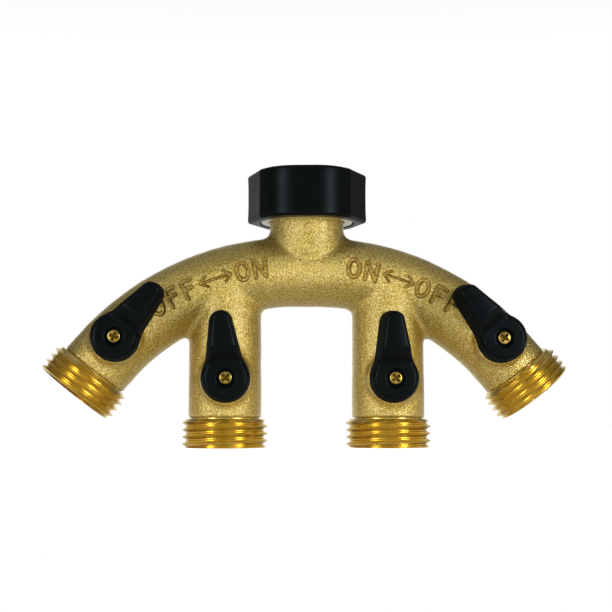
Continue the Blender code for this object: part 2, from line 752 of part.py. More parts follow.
def make_retaining_ring(pipe_plane):
    """Split spring ring in the neck's groove; the insert's lip bears on it."""
    bottom = INSERT_LIP_TOP + GAP
    top = bottom + RING_HEIGHT
    rows = [
        (RING_INNER_RADIUS, bottom), (RING_OUTER_RADIUS, bottom),
        (RING_OUTER_RADIUS, top), (RING_INNER_RADIUS, top),
    ]
    ring = mesh_object("retaining_ring", turned(rows, ROUND_PIPE), "spring_steel", pipe_plane)
    split = box(2 * OVERRUN, RING_SPLIT, bottom - OVERRUN, top + OVERRUN)
    middle = (RING_INNER_RADIUS + RING_OUTER_RADIUS) / 2
    bmesh.ops.translate(split, vec=(middle, 0.0, 0.0), verts=split.verts)
    tool = mesh_object("cut_ring_split", split, "spring_steel", pipe_plane)
    tool.rotation_euler = (0.0, 0.0, math.radians(90))
    boolean(ring, tool, "DIFFERENCE")
    return ring


def make_splitter():
    clear_scene()
    pipe_plane = empty("pipe_plane", (0.0, PIPE_PLANE_Y, 0.0))
    make_casting(pipe_plane)
    make_retaining_ring(pipe_plane)
    swivel = empty("swivel_axis", (0.0, 0.0, 0.0))
    swivel.parent = pipe_plane
    swivel.rotation_euler = (0.0, 0.0, NUT_REST_TURN)
    make_nut_shell(swivel)
    make_insert(swivel)
    make_washer(swivel)
    for name in VALVES:
        make_valve(name, pipe_plane)


make_splitter()
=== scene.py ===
"""Looks of the four-way hose splitter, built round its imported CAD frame.

Shapes are worked out in millimetres in the pipe frame: x runs across the outlets, y is 0 on the
plane of the pipe axes and negative towards the levers, and z is 0 at the straight outlets' ends.
Rounded castings and mouldings are distance fields turned into meshes, and turned parts are lathes.
"""

import json
import math

import bmesh
import bpy
import numpy as np
from mathutils import Matrix, Vector, noise


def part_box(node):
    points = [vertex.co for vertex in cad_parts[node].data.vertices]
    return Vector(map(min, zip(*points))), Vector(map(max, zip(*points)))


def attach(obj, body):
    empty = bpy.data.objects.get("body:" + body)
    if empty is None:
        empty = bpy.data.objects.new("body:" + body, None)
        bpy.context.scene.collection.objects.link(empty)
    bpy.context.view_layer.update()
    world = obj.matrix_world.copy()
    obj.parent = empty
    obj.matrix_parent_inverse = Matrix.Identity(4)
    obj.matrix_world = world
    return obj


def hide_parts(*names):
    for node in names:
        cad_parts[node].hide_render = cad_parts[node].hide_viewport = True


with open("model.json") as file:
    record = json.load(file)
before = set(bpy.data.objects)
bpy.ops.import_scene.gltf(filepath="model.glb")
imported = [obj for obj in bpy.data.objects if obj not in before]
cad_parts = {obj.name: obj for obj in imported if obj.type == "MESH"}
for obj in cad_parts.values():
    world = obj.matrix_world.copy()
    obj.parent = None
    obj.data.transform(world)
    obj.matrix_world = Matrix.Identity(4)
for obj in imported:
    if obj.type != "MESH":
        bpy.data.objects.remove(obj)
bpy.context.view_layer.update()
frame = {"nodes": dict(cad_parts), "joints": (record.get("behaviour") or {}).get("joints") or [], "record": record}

MM = 0.001
JOINTS = {joint["name"]: joint for joint in frame["joints"]}
MOUNTS = {mount["name"]: mount for mount in frame["record"]["mounts"]}
PIPE_Y = JOINTS["swivel_turn"]["pos_m"][1]
VALVES = ("left_outer", "left_inner", "right_inner", "right_outer")


def pipe_frame(point):
    """A point of the record, in millimetres in the pipe frame."""
    return np.array([point[0] / MM, (point[1] - PIPE_Y) / MM, point[2] / MM])


def valve_centre(name):
    return pipe_frame(JOINTS["lever_" + name]["pos_m"])


def outlet_axis(name):
    """Unit vector out of an outlet."""
    return np.array(MOUNTS["outlet_" + name]["axis"], float)


# Cast arch, as in the CAD part
ARCH_RADIUS = 79.3
ARCH_CENTRE = (3.3, -24.1)
ARCH_END_ANGLE = math.radians(46.0)
PIPE_RADIUS = 11.0
GALLERY_RADIUS = 7.8
GALLERY_END_ANGLE = math.radians(36.0)
BRANCH_X = valve_centre("right_inner")[0]
BRANCH_HEIGHTS = (9.0, 44.0, 52.0)
BRANCH_RADII = (11.4, 11.2, 11.02)
BRANCH_TOP = 51.6
NECK_RADIUS = 11.65
NECK_BALL_Z = 63.6
NECK_TOP = 75.2
NECK_FILLET = (3.4, 1.8)  # at the back, at the front
BRANCH_FILLET = (3.0, 1.8)
FILLET_CHANGE = (3.0, 8.0)  # how far in front of the pipe plane the fillets narrow
INLET_RADIUS = 8.5
PASSAGE_RADIUS = 6.6
CHAMBER_RADIUS = 7.6
CHAMBER_TOP = 7.9
PORT_RADIUS = 4.8
PORT_TOP = 10.3
BOSS_RADIUS = 7.9
BOSS_FACE = 12.8
BOSS_EDGE = 0.9
BOSS_FILLET = 2.6
STEM_HOLE_RADIUS = 3.3
SHARP_EDGE = 0.5
MOUTH_EDGE = 0.4
THREAD_LENGTH = 9.0
GAP = 0.3
VALVE_TO_END = 21.3
CASTING_END = VALVE_TO_END - THREAD_LENGTH - GAP
CASTING_STEP = 0.76
CASTING_LOW = (-76.0, -14.5, 7.8)
CASTING_HIGH = (76.0, 13.0, 77.0)

# Lettering on the arch; letters are spaced, and words placed, in degrees round each side's arc
LETTER_RING = 80.2
LETTER_SPACING = 3.95
LETTER_DEPTH = 0.55
LETTER_WALL = 0.28
LETTER_HALF_WIDTH = 1.65
LETTER_HALF_HEIGHT = 2.75
ROUND_HALF_WIDTH = 1.75
ROUND_STROKES = 20
F_LEFT = 1.35
F_TOP_ARM = 1.55
F_MIDDLE_ARM = 1.0
F_MIDDLE = 0.25
LETTER_HALF_STROKE = 0.62
ARROW_HALF_STROKE = 0.36
ARROW_HALF_LENGTH = 5.0
ARROW_BARB = (2.2, 1.75)
FAR_FROM_LETTERS = 9.0
LETTERS_IN_FRONT = 5.0
LETTER_REACH = 5.0
ARROW_REACH = 8.0
WORD_ANGLES = {
    -1: {"ON": 10.5, "arrow": 18.6, "OFF": 28.9},
    1: {"ON": 9.6, "arrow": 17.8, "OFF": 27.5},
}

# Hose thread
PITCH = 25.4 / 11.5
THREAD_MAJOR = 13.49
THREAD_MINOR = 12.05
THREAD_CLEARANCE = 0.15
THREAD_ROWS = 14
THREAD_CREST = 0.06
THREAD_FLANK = 1.45


# ---- distance fields


def smooth_min(first, second, width):
    """Union of two distance fields with a fillet about as wide as given."""
    share = np.clip(0.5 + 0.5 * (second - first) / width, 0.0, 1.0)
    return second + (first - second) * share - width * share * (1.0 - share)


def smooth_max(first, second, width):
    return -smooth_min(-first, -second, width)


def segment_distance(u, v, start, end):
    """Distance in a plane from points to a straight segment."""
    along_u = end[0] - start[0]
    along_v = end[1] - start[1]
    length_squared = along_u * along_u + along_v * along_v
    share = ((u - start[0]) * along_u + (v - start[1]) * along_v) / length_squared
    share = np.clip(share, 0.0, 1.0)
    return np.hypot(u - start[0] - share * along_u, v - start[1] - share * along_v)


def arch_foot(x, z, last_angle, end_point):
    """Nearest point of the arch's centreline in the pipe plane, on its right half."""
    across = x - ARCH_CENTRE[0]
    up = z - ARCH_CENTRE[1]
    angle = np.clip(np.arctan2(across, up), 0.0, last_angle)
    foot_x = ARCH_CENTRE[0] + ARCH_RADIUS * np.sin(angle)
    foot_z = ARCH_CENTRE[1] + ARCH_RADIUS * np.cos(angle)
    level = x < ARCH_CENTRE[0]
    foot_x = np.where(level, np.maximum(x, 0.0), foot_x)
    foot_z = np.where(level, ARCH_CENTRE[1] + ARCH_RADIUS, foot_z)
    if end_point is None:
        return foot_x, foot_z
    start_x = ARCH_CENTRE[0] + ARCH_RADIUS * math.sin(last_angle)
    start_z = ARCH_CENTRE[1] + ARCH_RADIUS * math.cos(last_angle)
    along = np.array([end_point[0] - start_x, end_point[1] - start_z])
    share = ((x - start_x) * along[0] + (z - start_z) * along[1]) / (along @ along)
    share = np.clip(share, 0.0, 1.0)
    stub_x = start_x + share * along[0]
    stub_z = start_z + share * along[1]
    nearer = np.hypot(x - stub_x, z - stub_z) < np.hypot(x - foot_x, z - foot_z)
    return np.where(nearer, stub_x, foot_x), np.where(nearer, stub_z, foot_z)


def around(x, y, z, foot_x, foot_z, radius):
    """Skin of a tube round a line in the pipe plane: distance and outward direction."""
    offset = np.stack([x - foot_x, y, z - foot_z], axis=1)
    length = np.maximum(np.linalg.norm(offset, axis=1), 1e-6)
    return length - radius, offset / length[:, None]


def join(first, second, width):
    """Union of two skins with a fillet that dies out where they run flush."""
    flush = (first[1] * second[1]).sum(axis=1)
    fillet = width * np.clip(1.0 - flush, 0.04, 1.0)
    outward = np.where((first[0] < second[0])[:, None], first[1], second[1])
    return smooth_min(first[0], second[0], fillet), outward


def axial(points, centre, axis):
    """Position along an axis in the pipe plane, and distance from it."""
    x = points[:, 0] - centre[0]
    z = points[:, 2] - centre[2]
    along = x * axis[0] + z * axis[2]
    beside = x * axis[2] - z * axis[0]
    return along, np.hypot(beside, points[:, 1])


def boss_skin(x, y, z, centre):
    """Round boss in front of a valve, under the lever's hub."""
    offset = np.stack([x - centre[0], np.zeros_like(y), z - centre[2]], axis=1)
    length = np.maximum(np.linalg.norm(offset, axis=1), 1e-6)
    boss = smooth_max(length - BOSS_RADIUS, -y - BOSS_FACE, BOSS_EDGE)
    return np.maximum(boss, y), offset / length[:, None]


def casting_skin(points):
    """Outside of the casting without its lettering; points are mirrored to the right half."""
    x, y, z = np.abs(points[:, 0]), points[:, 1], points[:, 2]
    right = np.stack([x, y, z], axis=1)
    outer = valve_centre("right_outer")
    outer_axis = outlet_axis("right_outer")
    stub_end = outer + outer_axis * (CASTING_END + 4.0)
    foot_x, foot_z = arch_foot(x, z, ARCH_END_ANGLE, (stub_end[0], stub_end[2]))
    skin = around(x, y, z, foot_x, foot_z, PIPE_RADIUS)
    frontness = np.clip((-y - FILLET_CHANGE[0]) / (FILLET_CHANGE[1] - FILLET_CHANGE[0]), 0.0, 1.0)
    neck = around(x, y, z, 0.0, np.maximum(z, NECK_BALL_Z), NECK_RADIUS)
    skin = join(skin, neck, NECK_FILLET[0] + (NECK_FILLET[1] - NECK_FILLET[0]) * frontness)
    radius = np.interp(z, BRANCH_HEIGHTS, BRANCH_RADII)
    branch = around(x, y, z, BRANCH_X, np.minimum(z, BRANCH_TOP), radius)
    skin = join(skin, branch, BRANCH_FILLET[0] + (BRANCH_FILLET[1] - BRANCH_FILLET[0]) * frontness)
    for name in ("right_inner", "right_outer"):
        skin = join(skin, boss_skin(x, y, z, valve_centre(name)), BOSS_FILLET)
    along, _ = axial(right, outer, outer_axis)
    cut = smooth_max(skin[0], along - CASTING_END, SHARP_EDGE)
    cut = smooth_max(cut, VALVE_TO_END - CASTING_END - z, SHARP_EDGE)
    return smooth_max(cut, z - NECK_TOP, SHARP_EDGE)


def casting_hollow(points):
    """Waterway inside the casting: gallery, inlet, passages, ports and valve chambers."""
    x, y, z = np.abs(points[:, 0]), points[:, 1], points[:, 2]
    right = np.stack([x, y, z], axis=1)
    foot_x, foot_z = arch_foot(x, z, GALLERY_END_ANGLE, None)
    gallery = around(x, y, z, foot_x, foot_z, GALLERY_RADIUS)[0]
    arch_top = ARCH_CENTRE[1] + ARCH_RADIUS
    hollow = np.minimum(gallery, np.maximum(np.hypot(x, y) - INLET_RADIUS, arch_top - z))
    for name in ("right_inner", "right_outer"):
        centre = valve_centre(name)
        axis = outlet_axis(name)
        along, off = axial(right, centre, axis)
        chamber = np.maximum(off - CHAMBER_RADIUS, -along - CHAMBER_TOP)
        port = np.maximum(off - PORT_RADIUS, np.maximum(-along - PORT_TOP - 2.0, along))
        stem = np.maximum(np.hypot(x - centre[0], z - centre[2]) - STEM_HOLE_RADIUS, y)
        hollow = np.minimum(hollow, np.minimum(np.minimum(chamber, port), stem))
    passage = np.hypot(x - BRANCH_X, y) - PASSAGE_RADIUS
    bottom = VALVE_TO_END + PORT_TOP
    passage = np.maximum(passage, np.maximum(bottom - z, z - arch_top))
    return np.minimum(hollow, passage)


def casting_field(points):
    """The bored casting without its lettering."""
    return smooth_max(casting_skin(points), -casting_hollow(points), MOUTH_EDGE)


SETTLE_ROUNDS = 4


def gradient(field, points, step=0.02):
    """Slope of a field at points, by differences over a short step each way."""
    slopes = []
    for axis in range(3):
        shift = np.zeros(3)
        shift[axis] = step
        slopes.append((field(points + shift) - field(points - shift)) / (2 * step))
    return np.stack(slopes, axis=1)


def settle(field, points, rounds, reach):
    """Move points onto a field's surface by Newton steps no longer than reach."""
    for _ in range(rounds):
        value = field(points)
        slope = gradient(field, points)
        size = np.maximum((slope * slope).sum(axis=1), 0.05)
        move = -(value / size)[:, None] * slope
        length = np.maximum(np.linalg.norm(move, axis=1), 1e-9)
        move *= np.minimum(1.0, reach / length)[:, None]
        points = points + move
    return points


def surface_net(field, low, high, step):
    """Quads over a field's zero surface: a point in each crossed cell, a face at each crossed edge."""
    counts = [int(math.ceil((high[a] - low[a]) / step)) + 1 for a in range(3)]
    axes = [low[a] + step * np.arange(counts[a]) for a in range(3)]
    grid = np.stack(np.meshgrid(*axes, indexing="ij"), axis=-1)
    values = field(grid.reshape(-1, 3)).reshape(counts)
    cells = [count - 1 for count in counts]
    total = np.zeros(cells + [3])
    crossings = np.zeros(cells)
    for axis in range(3):
        for first in (0, 1):
            for second in (0, 1):
                start = [0, 0, 0]
                others = [a for a in range(3) if a != axis]
                start[others[0]], start[others[1]] = first, second
                end = list(start)
                end[axis] = 1
                low_value = values[tuple(slice(start[a], start[a] + cells[a]) for a in range(3))]
                high_value = values[tuple(slice(end[a], end[a] + cells[a]) for a in range(3))]
                crossed = (low_value < 0) != (high_value < 0)
                drop = np.where(crossed, low_value - high_value, 1.0)
                share = np.where(crossed, low_value / drop, 0.0)
                for a in range(3):
                    offset = start[a] + (share if a == axis else 0.0)
                    total[..., a] += np.where(crossed, offset, 0.0)
                crossings += crossed
    active = crossings > 0
    index = np.full(cells, -1)
    index[active] = np.arange(active.sum())
    places = np.argwhere(active) + total[active] / crossings[active][:, None]
    points = np.array(low) + step * places
    return points, net_faces(values, index)


def net_faces(values, index):
    """A quad round each grid edge that the surface crosses, facing out of the solid."""
    faces = []
    inside = values < 0
    for axis in range(3):
        others = [a for a in range(3) if a != axis]
        if axis == 1:
            others.reverse()
        here = [slice(1, -1)] * 3
        here[axis] = slice(0, -1)
        ahead = [slice(1, -1)] * 3
        ahead[axis] = slice(1, None)
        change = inside[tuple(here)].astype(int) - inside[tuple(ahead)].astype(int)
        for sign in (1, -1):
            spots = np.argwhere(change == sign)
            for a in others:
                spots[:, a] += 1
            corners = []
            for back_first, back_second in ((1, 1), (0, 1), (0, 0), (1, 0)):
                cell = spots.copy()
                cell[:, others[0]] -= back_first
                cell[:, others[1]] -= back_second
                corners.append(index[cell[:, 0], cell[:, 1], cell[:, 2]])
            quads = np.stack(corners, axis=1)
            faces.append(quads if sign > 0 else quads[:, ::-1])
    return np.concatenate(faces)


# ---- meshes


SHARP_ANGLE = math.radians(38)
SAME_PLACE = 1e-7


def to_metres(points):
    """Millimetres in the pipe frame to metres in the world."""
    return np.asarray(points) * MM + np.array([0.0, PIPE_Y, 0.0])


def make_object(name, mesh, look, body, slot, *nodes):
    """One visible piece: its mesh and look, the body it rides on and the CAD nodes it stands for."""
    mesh.materials.clear()
    mesh.materials.append(look)
    made = bpy.data.objects.new(name, mesh)
    bpy.context.scene.collection.objects.link(made)
    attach(made, body)
    if nodes:
        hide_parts(*nodes)
    return made


def mesh_from(name, points, faces):
    mesh = bpy.data.meshes.new(name)
    mesh.from_pydata(points.tolist(), [], faces.tolist())
    mesh.update()
    mesh.shade_smooth()
    return mesh


def mark(mesh, name, values):
    """Store a share from 0 to 1 at every vertex, for the materials to read."""
    attribute = mesh.attributes.new(name, "FLOAT", "POINT")
    attribute.data.foreach_set("value", np.clip(values, 0.0, 1.0))


def lathe_columns(name, columns, helical=None):
    """Closed skin through columns of points; helical is (first row, last row, rows a turn)."""
    segments = len(columns)
    rows = len(columns[0])
    bm = bmesh.new()
    verts = [[bm.verts.new(point) for point in column] for column in columns]
    for index, here in enumerate(verts):
        beside = verts[(index + 1) % segments]
        for row in range(rows):
            above = (row + 1) % rows
            shift = 0
            if helical and index == segments - 1 and helical[0] <= row < helical[1]:
                shift = helical[2]
                if above + shift > helical[1]:
                    continue
            bm.faces.new((here[row], beside[row + shift], beside[above + shift], here[above]))
    bmesh.ops.remove_doubles(bm, verts=bm.verts, dist=SAME_PLACE)
    bmesh.ops.recalc_face_normals(bm, faces=bm.faces)
    mesh = bpy.data.meshes.new(name)
    bm.to_mesh(mesh)
    bm.free()
    mesh.shade_smooth()
    mesh.set_sharp_from_angle(angle=SHARP_ANGLE)
    return mesh


def turned_columns(rows_at, segments, place):
    """Columns of a turned part; rows_at(angle) gives (radius, height), place maps to metres."""
    columns = []
    for step in range(segments):
        angle = 2 * math.pi * step / segments
        local = [(r * math.cos(angle), r * math.sin(angle), h) for r, h in rows_at(angle)]
        columns.append([place @ Vector(point) for point in local])
    return columns


def placed(origin, up):
    """Matrix that takes local millimetres with +Z along up to metres at origin (pipe frame)."""
    turn = Vector(up).to_track_quat("Z", "Y").to_matrix().to_4x4()
    move = Matrix.Translation(Vector(to_metres(origin)))
    return move @ turn @ Matrix.Scale(MM, 4)


# ---- lettering


def polyline(points):
    """Segments that join the points in order."""
    return [(points[i], points[i + 1]) for i in range(len(points) - 1)]


def glyph(letter):
    """Centreline segments of a plain capital O, N or F."""
    wide, tall = LETTER_HALF_WIDTH, LETTER_HALF_HEIGHT
    if letter == "O":
        turn = [2 * math.pi * i / ROUND_STROKES for i in range(ROUND_STROKES + 1)]
        return polyline([(ROUND_HALF_WIDTH * math.sin(a), tall * math.cos(a)) for a in turn])
    if letter == "N":
        return polyline([(-wide, -tall), (-wide, tall), (wide, -tall), (wide, tall)])
    left = -F_LEFT
    upright = ((left, -tall), (left, tall))
    top_arm = ((left, tall), (F_TOP_ARM, tall))
    middle_arm = ((left, F_MIDDLE), (F_MIDDLE_ARM, F_MIDDLE))
    return [upright, top_arm, middle_arm]


def arrow_strokes():
    """Double-headed arrow."""
    barb, rise = ARROW_BARB
    strokes = [((-ARROW_HALF_LENGTH, 0.0), (ARROW_HALF_LENGTH, 0.0))]
    for end in (-1, 1):
        for way in (-1, 1):
            foot = (end * (ARROW_HALF_LENGTH - barb), way * rise)
            strokes.append(((end * ARROW_HALF_LENGTH, 0.0), foot))
    return strokes


def lettering(side):
    """Engraved strokes of one side: (centre angle, segments, half stroke)."""
    angles = WORD_ANGLES[side]
    found = []
    for word in ("ON", "OFF"):
        for place, letter in enumerate(word):
            offset = (place - (len(word) - 1) / 2) * LETTER_SPACING
            centre = side * angles[word] + offset
            found.append((math.radians(centre), glyph(letter), LETTER_HALF_STROKE))
    found.append((math.radians(side * angles["arrow"]), arrow_strokes(), ARROW_HALF_STROKE))
    return found


LETTERING = {side: lettering(side) for side in (-1, 1)}


def stroke_distance(points):
    """Distance from each point to the edge of the nearest engraved stroke, negative inside it."""
    nearest = np.full(len(points), FAR_FROM_LETTERS)
    side = np.where(points[:, 0] < 0, -1, 1)
    across = points[:, 0] - side * ARCH_CENTRE[0]
    up = points[:, 2] - ARCH_CENTRE[1]
    angle = np.arctan2(across, up)
    ring = np.hypot(across, up) - LETTER_RING
    possible = (points[:, 1] < -LETTERS_IN_FRONT) & (np.abs(ring) < LETTER_REACH)
    for hand, glyphs in LETTERING.items():
        mine = np.nonzero(possible & (side == hand))[0]
        for centre, segments, half_stroke in glyphs:
            u = (angle[mine] - centre) * LETTER_RING
            close = mine[np.abs(u) < ARROW_REACH]
            u = (angle[close] - centre) * LETTER_RING
            v = ring[close]
            for start, end in segments:
                edge = segment_distance(u, v, start, end) - half_stroke
                nearest[close] = np.minimum(nearest[close], edge)
    return nearest


def lettered_field(points):
    """The casting with its lettering sunk into it."""
    edge = stroke_distance(points)
    wall = np.clip(0.5 - edge / LETTER_WALL, 0.0, 1.0)
    depth = LETTER_DEPTH * wall * wall * (3.0 - 2.0 * wall)
    return smooth_max(casting_skin(points) + depth, -casting_hollow(points), MOUTH_EDGE)


# ---- node materials


# Painted shade in engraved letters and screw recesses: darkest on the walls, lighter on the floors.
PAINTED_SHADE_ON_WALLS = (0.36, 0.28, 0.16)
PAINTED_SHADE_ON_FLOORS = (0.70, 0.62, 0.46)
CAST_GRAIN = ((0.45, 0.290, 0.024), (0.69, 0.485, 0.094), (0.95, 0.80, 0.35))
CAST_DULL_PATCH = (0.84, 0.84, 0.74, 1.0)
DRAWN_SIDE_ROUGHNESS = 0.85
BRIGHT_BRASS = ((0.70, 0.50, 0.120), (0.80, 0.60, 0.18))
PLATED_BRASS = ((0.42, 0.29, 0.05), (0.70, 0.50, 0.12))
LEVER_BLACK = (0.0004, 0.0009, 0.0011)
LEVER_SHEEN = (0.76, 0.94, 1.0)


def new_material(name):
    """A node material, its tree, its Principled node and the place in the world."""
    made = bpy.data.materials.new(name)
    made.use_nodes = True
    tree = made.node_tree
    place = tree.nodes.new("ShaderNodeNewGeometry").outputs["Position"]
    return made, tree, tree.nodes["Principled BSDF"], place


def add(tree, kind, **settings):
    """Add a node; keywords set its properties, and those in inputs its sockets."""
    node = tree.nodes.new(kind)
    for key, value in settings.pop("inputs", {}).items():
        node.inputs[key].default_value = value
    for key, value in settings.items():
        setattr(node, key, value)
    return node


def ramp(tree, factor, stops):
    """Colour worked out from a factor by stops of (place, colour)."""
    node = tree.nodes.new("ShaderNodeValToRGB")
    elements = node.color_ramp.elements
    while len(elements) < len(stops):
        elements.new(0.5)
    for element, (place, colour) in zip(elements, stops):
        element.position = place
        element.color = (*colour, 1.0)
    tree.links.new(factor, node.inputs["Fac"])
    return node.outputs["Color"]


def noise_of(tree, coordinates, per_metre, detail, roughness):
    """Noise with its scale given in features to the metre."""
    node = add(tree, "ShaderNodeTexNoise", inputs={
        "Scale": per_metre, "Detail": detail, "Roughness": roughness,
    })
    tree.links.new(coordinates, node.inputs["Vector"])
    return node.outputs["Fac"]


def grey(value):
    return (value, value, value)


def grey_stops(levels):
    return [(place, grey(level)) for place, level in levels]


def bump(tree, height, strength, distance, normal=None):
    """Bumps on top of those of an earlier normal, with their depth in metres."""
    node = add(tree, "ShaderNodeBump", inputs={"Strength": strength, "Distance": distance})
    tree.links.new(height, node.inputs["Height"])
    if normal is not None:
        tree.links.new(normal, node.inputs["Normal"])
    return node.outputs["Normal"]


def with_painted_recess_shade(tree, colour):
    """Colour darkened by painted shade where the mesh attribute marks the walls of an engraving or a recess."""
    engraved = add(tree, "ShaderNodeAttribute", attribute_name="engraved").outputs["Fac"]
    painted_recess_shade = ramp(tree, engraved, [
        (0.05, grey(1.0)), (0.40, PAINTED_SHADE_ON_WALLS), (1.0, PAINTED_SHADE_ON_FLOORS),
    ])
    shaded = add(tree, "ShaderNodeMix", data_type="RGBA", blend_type="MULTIPLY")
    shaded.inputs["Factor"].default_value = 1.0
    tree.links.new(colour, shaded.inputs["A"])
    tree.links.new(painted_recess_shade, shaded.inputs["B"])
    return shaded.outputs["Result"]


def cast_brass():
    """Shot-blasted casting: fine facetted grain and duller patches."""
    made, tree, shader, place = new_material("cast_brass_blasted")
    grain = noise_of(tree, place, 2700.0, 3.0, 0.65)
    coarse = noise_of(tree, place, 1300.0, 2.0, 0.6)
    patches = noise_of(tree, place, 55.0, 3.0, 0.6)
    colour = ramp(tree, grain, list(zip((0.41, 0.50, 0.58), CAST_GRAIN)))
    dull = ramp(tree, patches, [(0.35, grey(0.0)), (0.70, grey(1.0))])
    mix = add(tree, "ShaderNodeMix", data_type="RGBA", blend_type="MULTIPLY")
    mix.inputs["B"].default_value = CAST_DULL_PATCH
    tree.links.new(colour, mix.inputs["A"])
    tree.links.new(dull, mix.inputs["Factor"])
    # Painted shade in the engraved lettering, read from the engraved attribute.
    tree.links.new(with_painted_recess_shade(tree, mix.outputs["Result"]), shader.inputs["Base Color"])
    rough = ramp(tree, coarse, [(0.3, grey(0.28)), (0.7, grey(0.38))])
    shader.inputs["Coat Weight"].default_value = 0.34
    shader.inputs["Coat Roughness"].default_value = 0.32
    tree.links.new(rough, shader.inputs["Roughness"])
    shader.inputs["Metallic"].default_value = 1.0
    normal = bump(tree, coarse, 1.0, 0.00024)
    normal = bump(tree, grain, 1.0, 0.00020, normal)
    tree.links.new(normal, shader.inputs["Normal"])
    return made


def turned_brass(name, colour_low, colour_high, smooth):
    """Machined brass: bright, with faint tool chatter and uneven polish."""
    made, tree, shader, place = new_material(name)
    cloud = noise_of(tree, place, 260.0, 3.0, 0.6)
    fine = noise_of(tree, place, 2600.0, 2.0, 0.5)
    colour = ramp(tree, cloud, [(0.35, colour_low), (0.68, colour_high)])
    # Painted shade in the screw's cross recess, read from the engraved attribute.
    tree.links.new(with_painted_recess_shade(tree, colour), shader.inputs["Base Color"])
    rough = ramp(tree, cloud, [(0.3, grey(smooth)), (0.75, grey(smooth + 0.06))])
    tree.links.new(rough, shader.inputs["Roughness"])
    shader.inputs["Metallic"].default_value = 1.0
    normal = bump(tree, cloud, 0.12, 0.00008)
    normal = bump(tree, fine, 0.30, 0.00002, normal)
    tree.links.new(normal, shader.inputs["Normal"])
    return made


def moulded_plastic(name, colour, roughness, shine=0.5, tint=(1.0, 1.0, 1.0)):
    """Moulded plastic: orange peel, fine spark-eroded grain, rubbed patches and matt drawn sides."""
    made, tree, shader, place = new_material(name)
    peel = noise_of(tree, place, 240.0, 2.0, 0.5)
    fine = noise_of(tree, place, 2400.0, 2.0, 0.5)
    rub = noise_of(tree, place, 90.0, 3.0, 0.6)
    lighter = tuple(min(1.0, channel * 1.35) for channel in colour)
    shade = ramp(tree, rub, [(0.35, colour), (0.75, lighter)])
    tree.links.new(shade, shader.inputs["Base Color"])
    rough = ramp(tree, rub, [(0.3, grey(roughness)), (0.75, grey(roughness + 0.10))])
    drawn = add(tree, "ShaderNodeAttribute", attribute_name="drawn_side").outputs["Fac"]
    dull = add(tree, "ShaderNodeMix", data_type="RGBA")
    dull.inputs["B"].default_value = (*grey(DRAWN_SIDE_ROUGHNESS), 1.0)
    tree.links.new(drawn, dull.inputs["Factor"])
    tree.links.new(rough, dull.inputs["A"])
    tree.links.new(dull.outputs["Result"], shader.inputs["Roughness"])
    shader.inputs["Specular IOR Level"].default_value = shine
    shader.inputs["Specular Tint"].default_value = (*tint, 1.0)
    normal = bump(tree, peel, 0.20, 0.00006)
    normal = bump(tree, fine, 0.22, 0.00002, normal)
    tree.links.new(normal, shader.inputs["Normal"])
    return made


def plain_metal(name, colour, roughness):
    """Hidden or half-hidden metal parts: turned finish with light scuffs."""
    made, tree, shader, place = new_material(name)
    cloud = noise_of(tree, place, 420.0, 3.0, 0.6)
    darker = tuple(channel * 0.86 for channel in colour)
    shade = ramp(tree, cloud, [(0.35, darker), (0.7, colour)])
    tree.links.new(shade, shader.inputs["Base Color"])
    rough = ramp(tree, cloud, [(0.3, grey(roughness)), (0.7, grey(roughness + 0.1))])
    tree.links.new(rough, shader.inputs["Roughness"])
    shader.inputs["Metallic"].default_value = 1.0
    tree.links.new(bump(tree, cloud, 0.15, 0.00004), shader.inputs["Normal"])
    return made


LOOKS = {
    "cast_brass": cast_brass(),
    "turned_brass": turned_brass("turned_brass_bright", *BRIGHT_BRASS, 0.22),
    "screw_brass": turned_brass("screw_brass_plated", *PLATED_BRASS, 0.24),
    "black_plastic": moulded_plastic("black_plastic_moulded", LEVER_BLACK, 0.33, 0.13, LEVER_SHEEN),
    "light_metal": plain_metal("light_metal_turned", (0.80, 0.78, 0.70), 0.38),
    "spring_steel": plain_metal("spring_steel_bright", (0.56, 0.57, 0.58), 0.25),
    "polished_ball": plain_metal("ball_plated", (0.83, 0.84, 0.85), 0.10),
    "white_seat": moulded_plastic("seat_plastic_white", (0.78, 0.78, 0.75), 0.40),
    "black_rubber": moulded_plastic("rubber_black", (0.016, 0.016, 0.017), 0.62),
}


# ---- casting


LETTER_ZONES = (1.1, 0.55)  # the mesh is halved within each of these distances of a stroke
SETTLED_ZONE = 2.5
# Width over which the painted shade fades out from the edge of each engraved stroke.
PAINTED_SHADE_WIDTH = 0.4
SWELLS = ((7.0, 0.10), (2.2, 0.05))  # length and height of the slow waves in the skin


def refine(bm, reach):
    """Split the faces whose centres lie within reach of an engraved stroke."""
    chosen = list(bm.faces)
    centres = np.array([face.calc_center_median() for face in chosen])
    near = stroke_distance(centres) < reach
    picked = [face for face, hit in zip(chosen, near) if hit]
    edges = list(dict.fromkeys(edge for face in picked for edge in face.edges))
    bmesh.ops.subdivide_edges(bm, edges=edges, cuts=1, use_grid_fill=True)
    wide = [face for face in bm.faces if len(face.verts) > 4]
    bmesh.ops.triangulate(bm, faces=wide)


def unevenness(points, normals):
    """Slow waviness of a sand casting, up to about a tenth of a millimetre."""
    moved = []
    for point, normal in zip(points, normals):
        place = Vector(point)
        swell = sum(noise.noise(place / length) * height for length, height in SWELLS)
        moved.append(point + normal * swell)
    return np.array(moved)


